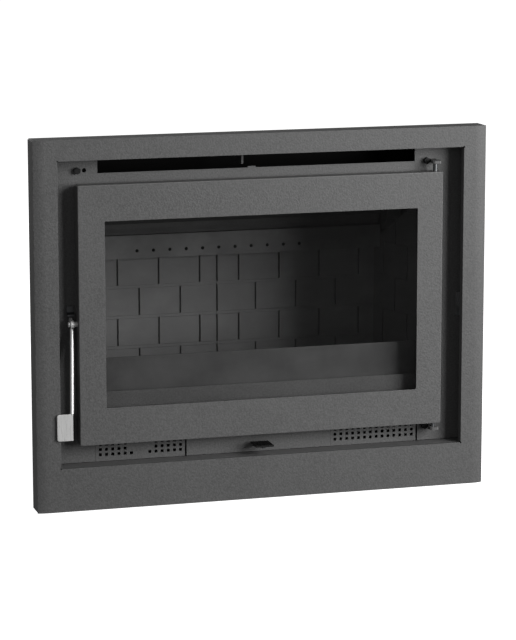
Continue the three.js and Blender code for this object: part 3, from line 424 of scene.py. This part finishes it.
def heads(name, places, axis, body):
    """A row of rivet or screw heads, all facing along one axis."""
    def edit(shape):
        for place in places:
            turned(shape, HEAD, place, axis)

    new_piece(name, edit, body, MATERIALS["galvanised"])


def between(low, high, count):
    """Evenly spaced numbers, both ends among them."""
    return [low + (high - low) * i / (count - 1) for i in range(count)]


RIVET_INSET = 12 * MM
SIDE_ROWS = (60 * MM, 150 * MM)  # first and last side rivet in front of the casing's back
SCREW_INSET = 8 * MM


def casing_rivets():
    """Rivets along the rear and side edges of the casing's rear roof, which stands below the hood."""
    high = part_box("casing")[1]
    points = [vertex.co for vertex in nodes["casing"].data.vertices]
    rear = [point for point in points if point.y > max(other.y for other in points) - 0.5 * MM]
    half = max(point.x for point in rear)
    roof = high.z - (max(point.z for point in points) - max(point.z for point in rear))
    reach = half - RIVET_INSET
    places = [Vector((x, high.y - RIVET_INSET, roof)) for x in between(-reach, reach, 9)]
    for direction in (-1, 1):
        for y in between(high.y - SIDE_ROWS[0], high.y - SIDE_ROWS[1], 3):
            places.append(Vector((direction * reach, y, roof)))
    return places


# Millimetres above the foot's lowest and below its highest point, and the thread's own sizes.
THREAD_FROM, THREAD_TO = 6.3, 9.3
THREAD_PITCH = 1.5
THREAD_ROOT, THREAD_CREST = 6.05, 6.8


def foot_threads(name):
    """A screw thread round a levelling foot's stem, between its pad and its nut."""
    low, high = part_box(name)
    middle = (low + high) / 2
    nut = (high.z - low.z) / MM - THREAD_TO
    profile = []
    height = THREAD_FROM
    while height + THREAD_PITCH < nut:
        profile.append((THREAD_ROOT, height))
        profile.append((THREAD_CREST, height + THREAD_PITCH / 2))
        height += THREAD_PITCH
    profile.append((THREAD_ROOT, height))
    place = Vector((middle.x, middle.y, low.z))

    def edit(shape):
        turned(shape, profile, place, (0, 0, 1), 18)

    new_piece(name + "_thread", edit, "insert", MATERIALS["zinc"])


BEAD_RADIUS = 76.0  # middle of the bead round the collar
BEAD_BELOW = 9.0  # under the collar's rim
BEAD_SIZE = (1.3, 1.6)  # half its width and half its height
BEAD_SIDES = (96, 8)


def collar_bead():
    """The rolled bead round the flue collar, over which a pipe is pushed."""
    low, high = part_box("flue_collar")
    centre = (low + high) / 2

    def edit(shape):
        around, section = BEAD_SIDES
        rings = []
        for i in range(around):
            angle = 2 * math.pi * i / around
            ring = []
            for j in range(section):
                tilt = 2 * math.pi * j / section
                out = (BEAD_RADIUS + BEAD_SIZE[0] * math.cos(tilt)) * MM
                z = high.z - BEAD_BELOW * MM + BEAD_SIZE[1] * math.sin(tilt) * MM
                x, y = centre.x + out * math.cos(angle), centre.y + out * math.sin(angle)
                ring.append(shape.verts.new((x, y, z)))
            rings.append(ring)
        for i in range(around):
            following = rings[(i + 1) % around]
            for j in range(section):
                k = (j + 1) % section
                shape.faces.new((rings[i][j], following[j], following[k], rings[i][k]))

    new_piece("flue_collar_bead", edit, "insert", MATERIALS["inner_steel"])


def retainer_screws():
    """Button-head screws that hold the ring behind the door's glass."""
    low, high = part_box("glass_retainer")
    left, right = low.x + SCREW_INSET, high.x - SCREW_INSET
    spots = []
    for x in between(left, right, 4):
        spots += [(x, low.z + SCREW_INSET), (x, high.z - SCREW_INSET)]
    for x in (left, right):
        spots.append((x, (low.z + high.z) / 2))
    return [Vector((x, high.y, z)) for x, z in spots]


heads("casing_rivets", casing_rivets(), (0, 0, 1), "insert")
heads("glass_retainer_screws", retainer_screws(), (0, 1, 0), "door")
for foot_name in ("foot_front_left", "foot_front_right", "foot_rear_left", "foot_rear_right"):
    foot_threads(foot_name)
collar_bead()

# ---------------------------------------------------------------- studio


def flat_stage(name, reach, height, material):
    corners = [(x * reach, y * reach, height) for x, y in ((-1, -1), (1, -1), (1, 1), (-1, 1))]
    mesh = bpy.data.meshes.new(name)
    mesh.from_pydata(corners, [], [[0, 1, 2, 3]])
    obj = bpy.data.objects.new(name, mesh)
    obj.data.materials.append(material)
    bpy.context.scene.collection.objects.link(obj)
    return obj


def floor_material():
    n = Nodes("floor")
    mottle = n.noise(3.0, 4.0)
    colour = n.mix(n.spread(mottle, 0.0, 1.0, 0.3, 0.7), grey(0.88), grey(0.92))
    n.shader.inputs["Emission Color"].default_value = (1, 1, 1, 1)
    n.shader.inputs["Emission Strength"].default_value = 0.95
    return n.finish(colour, 0.8, n.bump(n.noise(60), 0.05, 0.001))


def area_light(name, place, target, size, power):
    light = bpy.data.lights.new(name, "AREA")
    light.shape = "RECTANGLE"
    light.size = light.size_y = size
    light.energy = power
    obj = bpy.data.objects.new(name, light)
    bpy.context.scene.collection.objects.link(obj)
    obj.location = place
    obj.rotation_euler = (Vector(target) - Vector(place)).to_track_quat("-Z", "Y").to_euler()


# The floor is seen by the camera only, so that it throws no light on the insert.
floor = flat_stage("floor", 30.0, -0.001, floor_material())
floor.visible_diffuse = False
floor.visible_glossy = False

# The world is white for the camera and dim for everything else.
AMBIENT = 0.13
world = bpy.data.worlds.new("studio")
bpy.context.scene.world = world
world.use_nodes = True
sky = world.node_tree
background = sky.nodes["Background"]
background.inputs["Color"].default_value = (1, 1, 1, 1)
seen = sky.nodes.new("ShaderNodeLightPath").outputs["Is Camera Ray"]
strength = sky.nodes.new("ShaderNodeMapRange")
strength.inputs["To Min"].default_value = AMBIENT
strength.inputs["To Max"].default_value = 1.0
sky.links.new(seen, strength.inputs["Value"])
sky.links.new(strength.outputs["Result"], background.inputs["Strength"])

# place and target in metres, size in metres, power in watts
area_light("key", (2.03, -2.26, 1.2), (0, 0, 0.3), 1.9, 111)
area_light("fill", (-2.5, -3.5, 1.6), (0, 0, 0.3), 2.0, 11)
area_light("back", (-1.4, 3.4, 2.2), (0, 0.1, 0.3), 2.5, 45)

# ---------------------------------------------------------------- camera

# Millimetres from the frame's front plane, as at() takes them.
CAMERA_PLACE = (-1303.5, -4402.1, 1146.9)
CAMERA_TARGET = (-12.2, 0.0, 305.6)
CAMERA_ROLL = math.radians(-0.05)
LENS = 157.5

camera = bpy.data.cameras.new("camera")
camera.lens = LENS
camera.sensor_width = 36.0
camera.sensor_fit = "AUTO"
camera.clip_end = 100.0
eye = bpy.data.objects.new("camera", camera)
bpy.context.scene.collection.objects.link(eye)
eye.location = at(*CAMERA_PLACE)
look = (at(*CAMERA_TARGET) - eye.location).to_track_quat("-Z", "Y").to_matrix().to_4x4()
eye.matrix_world = Matrix.Translation(eye.location) @ look @ Matrix.Rotation(CAMERA_ROLL, 4, "Z")
bpy.context.scene.camera = eye
bpy.context.scene.view_settings.view_transform = "Standard"
